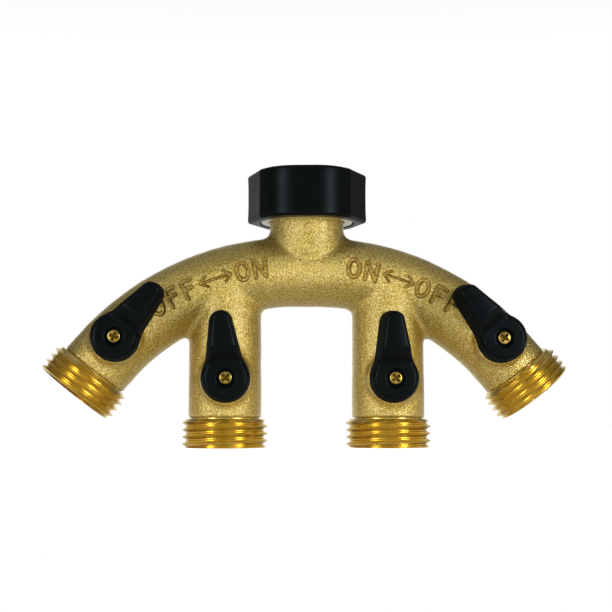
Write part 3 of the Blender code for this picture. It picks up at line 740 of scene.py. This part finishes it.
def build_casting():
    """Hollow brass casting with its engraved words and arrows."""
    points, faces = surface_net(casting_field, CASTING_LOW, CASTING_HIGH, CASTING_STEP)
    points = settle(casting_field, points, SETTLE_ROUNDS, 0.3)
    bm = bmesh.new()
    verts = [bm.verts.new(point) for point in points]
    for face in faces:
        bm.faces.new([verts[i] for i in face])
    for reach in LETTER_ZONES:
        refine(bm, reach)
    co = np.array([vert.co for vert in bm.verts])
    lettered = np.nonzero(stroke_distance(co) < SETTLED_ZONE)[0]
    co[lettered] = settle(lettered_field, co[lettered], SETTLE_ROUNDS, 0.25)
    normals = gradient(casting_field, co)
    normals /= np.maximum(np.linalg.norm(normals, axis=1), 1e-6)[:, None]
    co = unevenness(co, normals)
    for vert, place in zip(bm.verts, to_metres(co)):
        vert.co = place
    bmesh.ops.recalc_face_normals(bm, faces=bm.faces)
    mesh = bpy.data.meshes.new("casting")
    bm.to_mesh(mesh)
    bm.free()
    mesh.shade_smooth()
    # Painted shade along the engraved strokes.
    mark(mesh, "engraved", 0.5 - stroke_distance(co) / PAINTED_SHADE_WIDTH)
    make_object("casting", mesh, LOOKS["cast_brass"], "manifold", "cast_brass", "manifold_body")


# ---- turned parts


def thread_radius(share, minor, major):
    """Hose thread with a sharp crest at share 0.5 and hollow flanks that meet in a rounded root."""
    rise = np.clip((1.0 - abs(2.0 * share - 1.0)) / (1.0 - THREAD_CREST), 0.0, 1.0)
    return minor + (major - minor) * rise ** THREAD_FLANK


def thread_rows(angle, bottom, top, minor, major, limit, phase):
    """Rows (radius, height) of a right-hand thread at one angle, trimmed by limit near its ends.

    Turns that would lie past either end are flattened onto it.
    """
    rows = []
    turns = math.ceil((top - bottom) / PITCH) + 3
    for count in range(turns * THREAD_ROWS + 1):
        share = count / THREAD_ROWS
        height = bottom + PITCH * (share - 2 + phase + angle / (2 * math.pi))
        radius = thread_radius(share % 1.0, minor, major)
        height = min(top, max(bottom, height))
        rows.append((limit(radius, height), height))
    return rows


NIPPLE_SEGMENTS = 144
OUTLET_BORE = 8.5
OUTLET_CORNER = 9.2
BORE_STEP = 6.2
SPIGOT_BORE = 5.2
SPIGOT_RADIUS = 7.3
SPIGOT_TOP = -7.9
SEAM_RADIUS = 10.7
END_FACE_RADIUS = 12.1
THREAD_START = (12.55, 1.15)  # radius at the end face, and its growth to the millimetre
THREAD_RUN_OUT = (11.75, 1.35)  # the same from the shoulder


def build_nipple(name):
    """Threaded outlet: chamfered mouth, thread, seam shoulder and plain spigot."""
    place = placed(valve_centre(name), -outlet_axis(name))
    end = -VALVE_TO_END
    shoulder = end + THREAD_LENGTH

    def limit(radius, height):
        low = THREAD_START[0] + THREAD_START[1] * (height - end)
        high = THREAD_RUN_OUT[0] + THREAD_RUN_OUT[1] * (shoulder - height)
        return min(radius, low, high)

    before = [
        (SPIGOT_BORE, SPIGOT_TOP), (SPIGOT_BORE, end + 9.8), (SPIGOT_BORE + 0.4, end + 9.2),
        (OUTLET_BORE - 0.4, end + BORE_STEP + 0.6), (OUTLET_BORE, end + BORE_STEP),
        (OUTLET_BORE, end + 0.7), (OUTLET_BORE + 0.12, end + 0.35), (OUTLET_CORNER - 0.2, end + 0.08),
        (OUTLET_CORNER, end), (END_FACE_RADIUS, end), (END_FACE_RADIUS + 0.3, end + 0.06),
    ]
    seam = shoulder + GAP - 0.02
    after = [
        (SEAM_RADIUS, shoulder), (SEAM_RADIUS, seam), (SPIGOT_RADIUS, seam),
        (SPIGOT_RADIUS, SPIGOT_TOP - 0.3), (SPIGOT_RADIUS - 0.3, SPIGOT_TOP),
    ]

    def rows_at(angle):
        thread = thread_rows(angle, end, shoulder, THREAD_MINOR, THREAD_MAJOR, limit, 0.5)
        return before + thread + after

    rows = len(rows_at(0.0))
    helical = (len(before), rows - len(after) - 1, THREAD_ROWS)
    columns = turned_columns(rows_at, NIPPLE_SEGMENTS, place)
    mesh = lathe_columns("outlet_" + name, columns, helical)
    node = "outlet_nipple_" + name
    make_object("outlet_" + name, mesh, LOOKS["turned_brass"], "manifold", "turned_brass", node)


def turned_part(name, rows, segments, place, look, body, slot, *nodes):
    """One turned piece with the same outline all round."""
    mesh = lathe_columns(name, turned_columns(lambda angle: rows, segments, place))
    make_object(name, mesh, LOOKS[look], body, slot, *nodes)


BALL_RADIUS = 6.6
BALL_BORE = 4.4
BALL_STEPS = 32
SEAT_RADIUS = 7.3
SEAT_BORE = 4.6
SEAT_BACK = 7.6
SEAT_FRONT = 3.9
SEAT_EDGE = 0.2
SEAT_HOLLOW = 6.9
SEAT_STEPS = 8


def arc_rows(radius, first, last, steps):
    """Rows (radius, height) along an arc round the origin, between two angles from level."""
    angles = [first + (last - first) * step / steps for step in range(steps + 1)]
    return [(radius * math.cos(angle), radius * math.sin(angle)) for angle in angles]


def build_ball_and_seats(name):
    """Plated ball and its two seat rings, seen through the outlet."""
    place = placed(valve_centre(name), -outlet_axis(name))
    edge = math.acos(BALL_BORE / BALL_RADIUS)
    rows = arc_rows(BALL_RADIUS, edge, -edge, BALL_STEPS)
    body, node = "valve_" + name, "valve_ball_" + name
    turned_part("ball_" + name, rows, 72, place, "polished_ball", body, "polished_ball", node)
    back = [
        (SEAT_BORE, SEAT_BACK - SEAT_EDGE), (SEAT_BORE + SEAT_EDGE, SEAT_BACK),
        (SEAT_RADIUS - SEAT_EDGE, SEAT_BACK), (SEAT_RADIUS, SEAT_BACK - SEAT_EDGE),
        (SEAT_RADIUS, SEAT_FRONT),
    ]
    first = math.asin((SEAT_FRONT - 0.1) / SEAT_HOLLOW)
    last = math.acos(SEAT_BORE / SEAT_HOLLOW)
    ring = back + arc_rows(SEAT_HOLLOW, first, last, SEAT_STEPS)
    for kind, way in (("inner", 1), ("outer", -1)):
        rows = [(radius, way * height) for radius, height in ring]
        node = "seat_%s_%s" % (kind, name)
        turned_part("ring_" + node, rows, 60, place, "white_seat", "manifold", "white_seat", node)


# ---- swivel nut


NUT_LOW, NUT_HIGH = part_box("swivel_nut")
NUT_BOTTOM = NUT_LOW.z / MM
NUT_TOP = NUT_HIGH.z / MM
NUT_TURN = math.radians(-6.5)
NUT_CORNER_ANGLE = 49
NUT_FRONT = 18.95
NUT_BOW = 0.72
NUT_CORNER = 18.7
NUT_FLANK = 18.9
NUT_RIM = 1.05
NUT_RIM_STEPS = 6
NUT_WAIST = 0.16
NUT_BORE = 14.95
NUT_LIP_RADIUS = 13.9
NUT_LIP_HEIGHT = 1.2
INSERT_RADIUS = 14.65
INSERT_BORE = 12.0
INSERT_FLOOR = 72.6
INSERT_CHAMBER = 13.3
INSERT_THREAD_BOTTOM = 77.6
INSERT_SEGMENTS = 120
WASHER_BOTTOM = 75.5
WASHER_TOP = 78.0
WASHER_RADIUS = 11.7
WASHER_BORE = 8.0


def nut_radius(angle):
    """Outline of the grip shell: bowed, slightly dipped front and back faces and four flats."""
    folded = abs((math.degrees(angle) + 90.0) % 180.0 - 90.0)
    if folded <= NUT_CORNER_ANGLE:
        share = folded / NUT_CORNER_ANGLE
        lobe = NUT_BOW * math.sin(math.pi * share) ** 1.5
        return NUT_FRONT + (NUT_CORNER - NUT_FRONT) * share + lobe
    diagonal = math.radians(NUT_CORNER_ANGLE)
    start = Vector((NUT_CORNER * math.sin(diagonal), NUT_CORNER * math.cos(diagonal)))
    finish = Vector((NUT_FLANK, 0.0))
    way = math.radians(folded)
    direction = Vector((math.sin(way), math.cos(way)))
    along = finish - start
    cross = direction.x * along.y - direction.y * along.x
    return (start.x * along.y - start.y * along.x) / cross


def nut_angles():
    """Angles of the outline, closer together near its six edges."""
    flat = 90 - NUT_CORNER_ANGLE
    edges = [turn + offset for turn in (90, 270) for offset in (-flat, 0, flat)]
    found = {round(step * 1.5, 3) for step in range(240)}
    for edge in edges:
        found.update(round(edge + offset, 3) for offset in (-1.0, -0.6, -0.3, 0.0, 0.3, 0.6, 1.0))
    return [math.radians(angle) for angle in sorted(found)]


def softened_radius(angle):
    """Outline with its upright edges rounded by averaging over a short arc."""
    spread = [math.radians(offset) for offset in (-0.8, -0.4, 0.0, 0.4, 0.8)]
    return sum(nut_radius(angle + offset) for offset in spread) / len(spread)


def nut_rows(outer):
    """Rows (radius, height) of the shell at one angle, from its bore round the outside and back."""
    rim_turns = [math.pi / 2 * step / NUT_RIM_STEPS for step in range(NUT_RIM_STEPS + 1)]
    middle = (NUT_BOTTOM + NUT_TOP) / 2
    rows = [(NUT_BORE, NUT_BOTTOM + 0.25), (NUT_BORE + 0.25, NUT_BOTTOM)]
    for turn in rim_turns:
        height = NUT_BOTTOM + NUT_RIM * (1 - math.cos(turn))
        rows.append((outer - NUT_RIM * (1 - math.sin(turn)), height))
    for share in (0.15, 0.3, 0.5, 0.7, 0.85):
        height = NUT_BOTTOM + NUT_RIM + (NUT_TOP - NUT_BOTTOM - 2 * NUT_RIM) * share
        waist = NUT_WAIST * (1 - ((height - middle) / (NUT_TOP - middle)) ** 2)
        rows.append((outer - waist, height))
    for turn in rim_turns:
        height = NUT_TOP - NUT_RIM * (1 - math.sin(turn))
        rows.append((outer - NUT_RIM * (1 - math.cos(turn)), height))
    lip = NUT_TOP - NUT_LIP_HEIGHT
    rows += [(NUT_LIP_RADIUS + 0.3, NUT_TOP), (NUT_LIP_RADIUS, NUT_TOP - 0.3)]
    return rows + [(NUT_LIP_RADIUS, lip), (NUT_BORE, lip)]


def build_nut():
    """Black grip shell with rounded rims, bored for the threaded sleeve."""
    columns = []
    origin = to_metres((0.0, 0.0, 0.0))
    for angle in nut_angles():
        rows = nut_rows(softened_radius(angle))
        turn = angle + NUT_TURN
        columns.append([
            Vector((origin[0] + r * MM * math.sin(turn), origin[1] - r * MM * math.cos(turn), h * MM))
            for r, h in rows
        ])
    mesh = lathe_columns("nut_shell", columns)
    make_object("nut_shell", mesh, LOOKS["black_plastic"], "swivel", "black_plastic", "swivel_nut")


def build_insert():
    """Light metal sleeve: lip round the neck, chamber for the ring and the female thread."""
    bottom = NUT_BOTTOM + 0.2
    top = NUT_TOP - 1.5
    minor = THREAD_MINOR + THREAD_CLEARANCE
    major = THREAD_MAJOR + THREAD_CLEARANCE

    def limit(radius, height):
        return max(radius, major - 1.2 * min(top - height, height - INSERT_THREAD_BOTTOM))

    before = [
        (INSERT_RADIUS - 0.2, top), (INSERT_RADIUS, top - 0.2), (INSERT_RADIUS, bottom + 0.35),
        (INSERT_RADIUS - 0.35, bottom), (INSERT_BORE + 0.3, bottom), (INSERT_BORE, bottom + 0.3),
        (INSERT_BORE, INSERT_FLOOR), (INSERT_CHAMBER, INSERT_FLOOR),
        (INSERT_CHAMBER, INSERT_THREAD_BOTTOM),
    ]

    def rows_at(angle):
        thread = thread_rows(angle, INSERT_THREAD_BOTTOM, top, minor, major, limit, 0.0)
        return before + thread

    rows = len(rows_at(0.0))
    place = placed((0.0, 0.0, 0.0), (0.0, 0.0, 1.0))
    columns = turned_columns(rows_at, INSERT_SEGMENTS, place)
    mesh = lathe_columns("nut_sleeve", columns, (len(before), rows - 1, THREAD_ROWS))
    make_object("nut_sleeve", mesh, LOOKS["light_metal"], "swivel", "light_metal", "nut_thread_insert")


def build_washer():
    """Rubber washer in the nut, rounded at its edges, with a shallow groove in its top."""
    bottom, top, edge, groove = WASHER_BOTTOM, WASHER_TOP, 0.3, 0.18
    rows = [
        (WASHER_BORE + edge, bottom), (WASHER_RADIUS - edge, bottom), (WASHER_RADIUS, bottom + edge),
        (WASHER_RADIUS, top - edge), (WASHER_RADIUS - edge, top), (11.0, top), (10.6, top - groove),
        (9.4, top - groove), (9.0, top), (WASHER_BORE + edge, top), (WASHER_BORE, top - edge),
        (WASHER_BORE, bottom + edge),
    ]
    place = placed((0.0, 0.0, 0.0), (0.0, 0.0, 1.0))
    rubber = "black_rubber"
    turned_part("sealing_washer", rows, 96, place, rubber, "swivel", rubber, "inlet_washer")


# ---- levers and screws


# Heights are from the pipe plane, and places along the lever from its stem's axis.
HUB_RADIUS = 7.6
BLADE_RADIUS = 6.6
TIP_RADIUS = 3.7
TIP_CENTRE = 17.1
WAIST_FILLET = 1.1
LEVER_DRAFT = 0.075
LEVER_ROUNDING = 1.1
HUB_BOTTOM = 13.1
HUB_TOP = 19.5
LEVER_TOP = 24.0
RAMP_START = 4.2
RAMP_END = 9.6
RAMP_HOLLOW = 1.7
TOP_CROWN = 0.03
CHAMFER_DEPTH = 0.75
CHAMFER_START = 5.8
CHAMFER_WIDTH = 1.5
CHAMFER_END = 4.6
CHAMFER_FADE = 0.8
COUNTERBORE_RADIUS = 2.75
COUNTERBORE_FLOOR = 17.8
SCREW_HOLE_RADIUS = 1.4
SOCKET_HALF_WIDTH = 2.4
SOCKET_TOP = 16.9
SCREW_HEAD_RADIUS = 1.95
SCREW_HEAD_BOTTOM = 18.1
SCREW_DOME_CENTRE = 10.8
SCREW_DOME_RADIUS = 8.5
SHANK_RADIUS = 1.1
SHANK_ENDS = (13.8, 18.6)
RECESS_ARM_HALF_WIDTH = 0.42
RECESS_ARM_LENGTH = 1.42
RECESS_FLOOR = 18.15
RECESS_MOUTH = 19.3
RECESS_TAPER = 0.30
LEVER_STEP = 0.32
SCREW_STEP = 0.09
LEANS = {"left_outer": -1.5, "left_inner": 5.0, "right_inner": 2.3, "right_outer": 2.3}
SCREW_TURNS = {"left_outer": 20.0, "left_inner": 40.0, "right_inner": 35.0, "right_outer": 12.0}


def blade_distance(u, v):
    """Distance in a plane to the tapered outline round the stem and a smaller circle at the tip."""
    u = np.abs(u)
    lean = (BLADE_RADIUS - TIP_RADIUS) / TIP_CENTRE
    side = math.sqrt(1.0 - lean * lean)
    along = -lean * u + side * v
    flank = side * u + lean * v - BLADE_RADIUS
    found = np.where(along < 0.0, np.hypot(u, v) - BLADE_RADIUS, flank)
    return np.where(along > side * TIP_CENTRE, np.hypot(u, v - TIP_CENTRE) - TIP_RADIUS, found)


def lever_field(points):
    """Lever in its own frame: x across, y along it from the stem axis, z away from the pipe."""
    u, v, h = points[:, 0], points[:, 1], points[:, 2]
    draft = LEVER_DRAFT * (h - HUB_BOTTOM)
    ring = np.hypot(u, v)
    outline = smooth_min(ring - HUB_RADIUS, blade_distance(u, v), WAIST_FILLET) + draft
    share = np.clip((v - RAMP_START) / (RAMP_END - RAMP_START), 0.0, 1.0)
    ramp_height = (LEVER_TOP - HUB_TOP) * np.sin(share * math.pi / 2) ** RAMP_HOLLOW
    chamfer = CHAMFER_DEPTH * np.clip((ring - CHAMFER_START) / CHAMFER_WIDTH, 0.0, 1.0)
    chamfer = chamfer * np.clip((CHAMFER_END - v) / CHAMFER_FADE, 0.0, 1.0)
    crown = TOP_CROWN * u * u * share
    top = h - (HUB_TOP + ramp_height - chamfer - crown)
    body = smooth_max(outline, top * 0.8, LEVER_ROUNDING)
    body = smooth_max(body, HUB_BOTTOM - h, SHARP_EDGE)
    counterbore = np.maximum(ring - COUNTERBORE_RADIUS, COUNTERBORE_FLOOR - h)
    body = smooth_max(body, -counterbore, 0.35)
    body = np.maximum(body, SCREW_HOLE_RADIUS - ring)
    socket = np.maximum(np.maximum(np.abs(u), np.abs(v)) - SOCKET_HALF_WIDTH, h - SOCKET_TOP)
    return smooth_max(body, -socket, 0.2)


def cross_recess(points):
    """Cross-shaped driver recess, narrowing as it goes down."""
    u, v, h = points[:, 0], points[:, 1], points[:, 2]
    reach = RECESS_ARM_LENGTH - np.clip((RECESS_MOUTH - h) * RECESS_TAPER, 0.0, 0.4)
    arm_u = np.maximum(np.abs(v) - RECESS_ARM_HALF_WIDTH, np.abs(u) - reach)
    arm_v = np.maximum(np.abs(u) - RECESS_ARM_HALF_WIDTH, np.abs(v) - reach)
    return np.maximum(np.minimum(arm_u, arm_v), RECESS_FLOOR - h)


def screw_field(points):
    """Pan-head screw with a tapered cross recess; z away from the pipe."""
    u, v, h = points[:, 0], points[:, 1], points[:, 2]
    ring = np.hypot(u, v)
    dome = np.hypot(ring, np.maximum(h - SCREW_DOME_CENTRE, 0.0)) - SCREW_DOME_RADIUS
    head = smooth_max(ring - SCREW_HEAD_RADIUS, SCREW_HEAD_BOTTOM - h, 0.2)
    head = smooth_max(head, dome, 0.35)
    shank = np.maximum(ring - SHANK_RADIUS, np.maximum(SHANK_ENDS[0] - h, h - SHANK_ENDS[1]))
    body = np.minimum(head, shank)
    return smooth_max(body, -cross_recess(points), 0.12)


def moulded_mesh(name, field, low, high, step):
    """Mesh of a distance field, and the settled points in millimetres."""
    points, faces = surface_net(field, low, high, step)
    points = settle(field, points, SETTLE_ROUNDS, step * 0.5)
    return mesh_from(name, points * MM, faces), points


def lever_place(name, lean):
    """World matrix of a lever: +Z away from the pipe, +Y up the branch, leaned about the stem."""
    up = -outlet_axis(name)
    outward = Vector((0.0, -1.0, 0.0))
    along = Vector(up)
    across = along.cross(outward)
    basis = Matrix((across, along, outward)).transposed().to_4x4()
    turn = Matrix.Rotation(math.radians(lean), 4, "Z")
    return Matrix.Translation(Vector(to_metres(valve_centre(name)))) @ basis @ turn


def lever_mesh():
    """Lever shared by the four valves, marked where its sides slid along the mould."""
    low, high = (-8.6, -8.6, 12.3), (8.6, 22.0, 25.2)
    mesh, points = moulded_mesh("lever", lever_field, low, high, LEVER_STEP)
    normals = gradient(lever_field, points)
    lengths = np.maximum(np.linalg.norm(normals, axis=1), 1e-6)
    mark(mesh, "drawn_side", 1.6 - 3.0 * np.abs(normals[:, 2]) / lengths)
    return mesh


def screw_mesh():
    """Screw shared by the four levers, marked in its recess for painted shade."""
    low, high = (-2.4, -2.4, 13.3), (2.4, 2.4, 20.0)
    mesh, points = moulded_mesh("lever_screw", screw_field, low, high, SCREW_STEP)
    mark(mesh, "engraved", 0.4 - cross_recess(points) / 0.3)
    return mesh


def build_levers():
    """Each lever on its stem, held by its screw."""
    lever = lever_mesh()
    screw = screw_mesh()
    for name in VALVES:
        place = lever_place(name, LEANS[name])
        body = "valve_" + name
        look = LOOKS["black_plastic"]
        piece = make_object("lever_" + name, lever, look, body, "black_plastic", "handle_" + name)
        piece.matrix_world = place
        look = LOOKS["screw_brass"]
        fixing = make_object("screw_" + name, screw, look, body, "turned_brass", "handle_screw_" + name)
        fixing.matrix_world = place @ Matrix.Rotation(math.radians(SCREW_TURNS[name]), 4, "Z")


def dress_hidden_nodes():
    """Parts inside the valves keep their CAD shape and get their real finish."""
    finish = {"retaining_ring": "spring_steel"}
    for name in VALVES:
        finish["valve_stem_" + name] = "turned_brass"
        finish["stem_oring_" + name] = "black_rubber"
    for node, look in finish.items():
        materials = frame["nodes"][node].data.materials
        materials.clear()
        materials.append(LOOKS[look])


# ---- camera and light


CAMERA_SIDE = -27.5
CAMERA_HEIGHT = 10.5
CAMERA_DISTANCE = 405.0
AIM_SIDE = -0.28
AIM_HEIGHT = 44.5
LENS = 75.7

# (place, level) stops: from the camera's side to behind the object, and from the horizon upwards
WORLD_LEVELS = (
    (0.0, 0.36), (0.25, 0.28), (0.42, 0.20), (0.70, 0.20), (0.82, 0.15), (0.90, 0.15), (0.955, 1.0),
)
OVERHEAD_LEVELS = ((0.28, 1.0), (0.42, 0.85), (0.70, 1.4), (1.0, 1.9))
FLOOR_RADIUS = 0.6
FLOOR_GREY = 0.55
FLOOR_GLOW = ((0.70, 0.32), (0.90, 0.95))
SOFT_BOXES = (("left_box", -45.0, 3.3), ("right_box", 42.0, 4.2))  # name, angle, power
BOX_SIZE = (0.24, 0.48)
BOX_DISTANCE = 0.9
BOX_HEIGHT = 0.06
LIT_HEIGHT = 45.0


def build_camera():
    """Long lens, from low down and a little to the left."""
    data = bpy.data.cameras.new("camera")
    data.lens = LENS
    camera = bpy.data.objects.new("camera", data)
    bpy.context.scene.collection.objects.link(camera)
    place = Vector(to_metres((CAMERA_SIDE, -CAMERA_DISTANCE, CAMERA_HEIGHT)))
    aim = Vector(to_metres((AIM_SIDE, 0.0, AIM_HEIGHT)))
    camera.location = place
    camera.rotation_euler = (aim - place).to_track_quat("-Z", "Y").to_euler()
    bpy.context.scene.camera = camera


def area_light(name, place, aim, size, power):
    """Rectangular lamp that looks at a point."""
    data = bpy.data.lights.new(name, "AREA")
    data.shape = "RECTANGLE"
    data.size, data.size_y = size
    data.energy = power
    light = bpy.data.objects.new(name, data)
    light.location = place
    light.rotation_euler = (Vector(aim) - Vector(place)).to_track_quat("-Z", "Y").to_euler()
    bpy.context.scene.collection.objects.link(light)


def build_world():
    """Soft studio surroundings: white behind the object, dim beside it, a little less so above."""
    world = bpy.data.worlds.new("studio")
    world.use_nodes = True
    tree = world.node_tree
    direction = tree.nodes.new("ShaderNodeTexCoord").outputs["Generated"]
    parts = tree.nodes.new("ShaderNodeSeparateXYZ")
    tree.links.new(direction, parts.inputs["Vector"])
    behind = add(tree, "ShaderNodeMapRange", inputs={"From Min": -1.0, "From Max": 1.0})
    tree.links.new(parts.outputs["Y"], behind.inputs["Value"])
    level = ramp(tree, behind.outputs["Result"], grey_stops(WORLD_LEVELS))
    above = add(tree, "ShaderNodeMapRange", inputs={"From Min": 0.0, "From Max": 1.0})
    tree.links.new(parts.outputs["Z"], above.inputs["Value"])
    overhead = ramp(tree, above.outputs["Result"], grey_stops(OVERHEAD_LEVELS))
    product = add(tree, "ShaderNodeMath", operation="MULTIPLY")
    tree.links.new(level, product.inputs[0])
    tree.links.new(overhead, product.inputs[1])
    background = tree.nodes["Background"]
    background.inputs["Color"].default_value = (1.0, 1.0, 1.0, 1.0)
    tree.links.new(product.outputs["Value"], background.inputs["Strength"])
    bpy.context.scene.world = world


def build_floor():
    """Pale light table that fades out of sight under the white backdrop."""
    mesh = bpy.data.meshes.new("floor")
    bm = bmesh.new()
    bmesh.ops.create_circle(bm, cap_ends=True, segments=96, radius=FLOOR_RADIUS)
    bm.to_mesh(mesh)
    bm.free()
    look, tree, shader, _ = new_material("floor_pale")
    shader.inputs["Base Color"].default_value = (*grey(FLOOR_GREY), 1.0)
    shader.inputs["Roughness"].default_value = 0.95
    shader.inputs["Emission Color"].default_value = (1.0, 1.0, 1.0, 1.0)
    facing = add(tree, "ShaderNodeLayerWeight", inputs={"Blend": 0.5}).outputs["Facing"]
    glow = ramp(tree, facing, grey_stops(FLOOR_GLOW))
    tree.links.new(glow, shader.inputs["Emission Strength"])
    mesh.materials.append(look)
    floor = bpy.data.objects.new("floor", mesh)
    bpy.context.scene.collection.objects.link(floor)


def build_lights():
    """Two tall soft boxes, one on each side of the camera."""
    aim = to_metres((0.0, 0.0, LIT_HEIGHT))
    for name, angle, power in SOFT_BOXES:
        turn = math.radians(angle)
        place = (BOX_DISTANCE * math.sin(turn), -BOX_DISTANCE * math.cos(turn), BOX_HEIGHT)
        area_light(name, place, aim, BOX_SIZE, power)
    bpy.context.scene.view_settings.view_transform = "Standard"


build_casting()
build_nut()
build_insert()
build_washer()
for valve in VALVES:
    build_nipple(valve)
    build_ball_and_seats(valve)
build_levers()
dress_hidden_nodes()
build_camera()
build_world()
build_floor()
build_lights()
